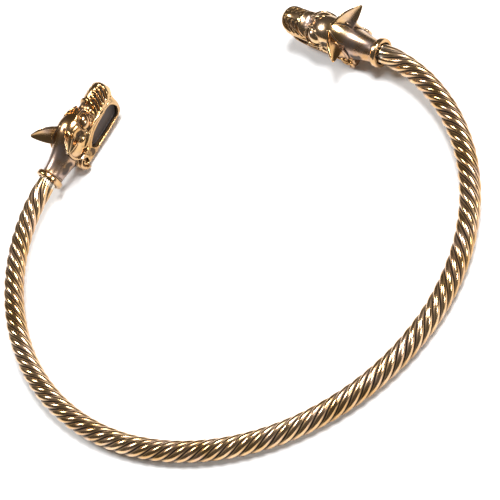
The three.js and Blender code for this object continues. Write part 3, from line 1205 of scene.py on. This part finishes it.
    def mark(self, form: Piece) -> None:
        """Write down where the hollows, the mouth and the neck are, and where painted shade with patina
        blotches lies on the neck and flanks.

        Args:
            form: The head about its own origin.
        """
        x, y, z = coordinates(form).T
        off = np.abs(y)
        # the mouth mark paints shade, with its patina, over the pocket between the lips
        in_mouth = within(self.mouth_outline(-0.1), np.column_stack([x, z])) & (off < self.mouth_web + 0.35)
        neck = rise(11.5 + 0.25 * z - x, 2.5) * rise(x - self.collar_width - 0.1, 0.4) * rise(5.4 - off, 1)
        nose = rise(2.1 - np.abs(x - self.nose_start), 0.6) * rise(2.6 - off, 0.6) * (z > 5)
        # painted shade, blotched like patina by the finish: behind and under the lobe, by the collar, in the
        # cheek hollow and beside the curl
        shade_behind_lobe = 0.85 * spot(x, z, (7.2, 0.8), (3.4, 2.0))
        shade_by_collar = 0.5 * np.exp(-((x - self.collar_width - 0.6) / 0.7) ** 2)
        cheek = spot(x, z, self.cheek_place, (1.8, 1.6))
        shade_by_curl = spot(x, z, (16.6, -3.2), (1.6, 1.8))
        flank_hollow_shade = 1.5 * np.maximum(cheek, shade_by_curl) * (off > 3)
        keep_mark(form, "hollow", hollows(form, self.hollow_reach, self.hollow_depth))
        keep_mark(form, "mouth", in_mouth.astype(float))
        keep_mark(form, "neck", np.maximum(neck, nose))
        keep_mark(form, "patina_and_painted_shade", np.maximum(np.maximum(shade_behind_lobe, shade_by_collar) * neck, flank_hollow_shade))

    def axes(self, end: Side) -> tuple[Array, Array]:
        """Place of a head on the end of the bar.

        Args:
            end: Which end of the hoop.

        Returns:
            The head's axes as columns, and its origin, in millimetres in the ring's own frame.
        """
        side = end.value
        along = side * self.bend.length / 2
        angle = float(self.bend.heading(along)) + (0 if side > 0 else math.pi)
        straight = np.array([math.cos(angle), math.sin(angle), 0.0])
        inward = np.array([-straight[1], straight[0], 0.0]) * side
        dip, lean = math.radians(self.pitch), math.radians(self.right_roll if side > 0 else self.left_roll)
        forward = straight * math.cos(dip) - UP * math.sin(dip)
        level = straight * math.sin(dip) + UP * math.cos(dip)
        crown = level * math.cos(lean) + inward * math.sin(lean)
        origin = self.bend.middle(along)[0] + forward * (self.seat_gap - self.socket_depth)
        return np.column_stack([forward, np.cross(crown, forward), crown]), origin

    def place(self, form: Piece, end: Side, resting: Resting) -> Piece:
        """Copy the head's form to one end of the hoop.

        Args:
            form: The head about its own origin, in millimetres.
            end: Which end of the hoop.
            resting: Where the ring lies.

        Returns:
            The head in its place, with a mesh of its own.
        """
        piece = form.copy()
        piece.data = form.data.copy()
        piece.name = f"{end.name.lower()}_head_bronze"
        bpy.context.collection.objects.link(piece)
        axes, origin = self.axes(end)
        set_coordinates(piece, resting.placed((coordinates(form) @ axes.T + origin) * MM))
        pick(piece)
        bpy.ops.object.shade_smooth()
        return piece


# The room


@dataclass
class Studio:
    """Camera, floor and lights, set from the ring's own frame. Metres."""

    resting: Resting
    camera_place: Point = (0.1257, -0.1692, 0.3719)
    camera_right: Point = (0.909, -0.151, -0.388)
    camera_away: Point = (-0.265, 0.507, -0.820)
    lens: float = 108.0
    sensor: float = 36.0
    floor_size: float = 4.0
    room_light: float = 0.11
    lamps: tuple[tuple[str, Point, float, float], ...] = (
        ("top_light", (0.32, 0.06, 0.8), 0.3, 10.0),
        ("key_light", (-0.5, 0.35, 0.75), 0.26, 6.0),
        ("side_light", (0.7, -0.45, 0.5), 0.22, 3.0))

    def add_camera(self) -> None:
        """Put the camera at the photograph's viewing angle."""
        away = Vector(self.resting.turned(self.camera_away)).normalized()
        right = Vector(self.resting.turned(self.camera_right))
        right = (right - away * right.dot(away)).normalized()
        up = right.cross(away)
        clear_selection()
        bpy.ops.object.camera_add()
        camera = named("camera")
        turn = Matrix((right, up, -away)).transposed().to_4x4()
        place = self.resting.placed(np.array([self.camera_place]))[0]
        camera.matrix_world = Matrix.Translation(Vector(place)) @ turn
        camera.data.lens = self.lens
        camera.data.sensor_width = self.sensor
        camera.data.clip_start = 0.01
        bpy.context.scene.camera = camera

    def add_floor(self) -> None:
        """Lay the pale floor, with its painted pool of light round the ring."""
        clear_selection()
        bpy.ops.mesh.primitive_plane_add(size=self.floor_size)
        floor = named("floor")
        floor.data.materials.append(FloorWithPaintedLightPool().material())

    def add_lights(self) -> None:
        """Light the ring from above with three soft lights, in a dim room."""
        world = bpy.data.worlds.new("studio")
        world.use_nodes = True
        background = world.node_tree.nodes["Background"]
        background.inputs["Color"].default_value = (1, 1, 1, 1)
        background.inputs["Strength"].default_value = self.room_light
        bpy.context.scene.world = world
        bpy.context.scene.view_settings.view_transform = "Standard"
        for name, place, size, power in self.lamps:
            clear_selection()
            bpy.ops.object.light_add(type="AREA")
            light = named(name)
            light.data.size = size
            light.data.energy = power
            aim = (-Vector(place)).to_track_quat("-Z", "Y").to_matrix().to_4x4()
            light.matrix_world = Matrix.Translation(place) @ aim


def finish_piece(piece: Piece, node: str, material: bpy.types.Material) -> None:
    """Dress a piece, put it on the root body and hide the CAD node that it stands for.

    Args:
        piece: The finished piece.
        node: The CAD node that it replaces.
        material: Its finish.
    """
    piece.data.materials.clear()
    piece.data.materials.append(material)
    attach(piece, "root")
    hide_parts(node)
    log.info("%s: %d triangles", piece.name, sum(face.loop_total - 2 for face in piece.data.polygons))


def main() -> None:
    """Build the ring, dress it and light it."""
    logging.basicConfig(level=logging.INFO, format="%(name)s: %(message)s")
    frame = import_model()
    bend = Bend()
    hoop = TwistedHoop(bend)
    resting = Resting.from_frame(frame, hoop.surface())
    log.info("the ring lies tilted by %.2f degrees", math.degrees(resting.tilt))
    studio = Studio(resting)
    studio.add_camera()
    studio.add_floor()
    studio.add_lights()
    twisted = Bronze("polished_twisted_bronze", has_solder=True, hollow_start=0.16, hollow_full=0.8)
    finish_piece(hoop.build(resting), "twisted_hoop", twisted.material())
    head = DragonHead(bend)
    form = head.build_form()
    cast_bronze = Bronze("polished_cast_bronze", bright=(0.62, 0.41, 0.205), warm=(0.47, 0.25, 0.085),
                         rosy=(0.56, 0.385, 0.29), has_neck=True).material()
    for end in (Side.RIGHT, Side.LEFT):
        node = f"{end.name.lower()}_dragon_head"
        finish_piece(head.place(form, end, resting), node, cast_bronze)
    bpy.data.objects.remove(form, do_unlink=True)


if __name__ == "__main__":
    main()
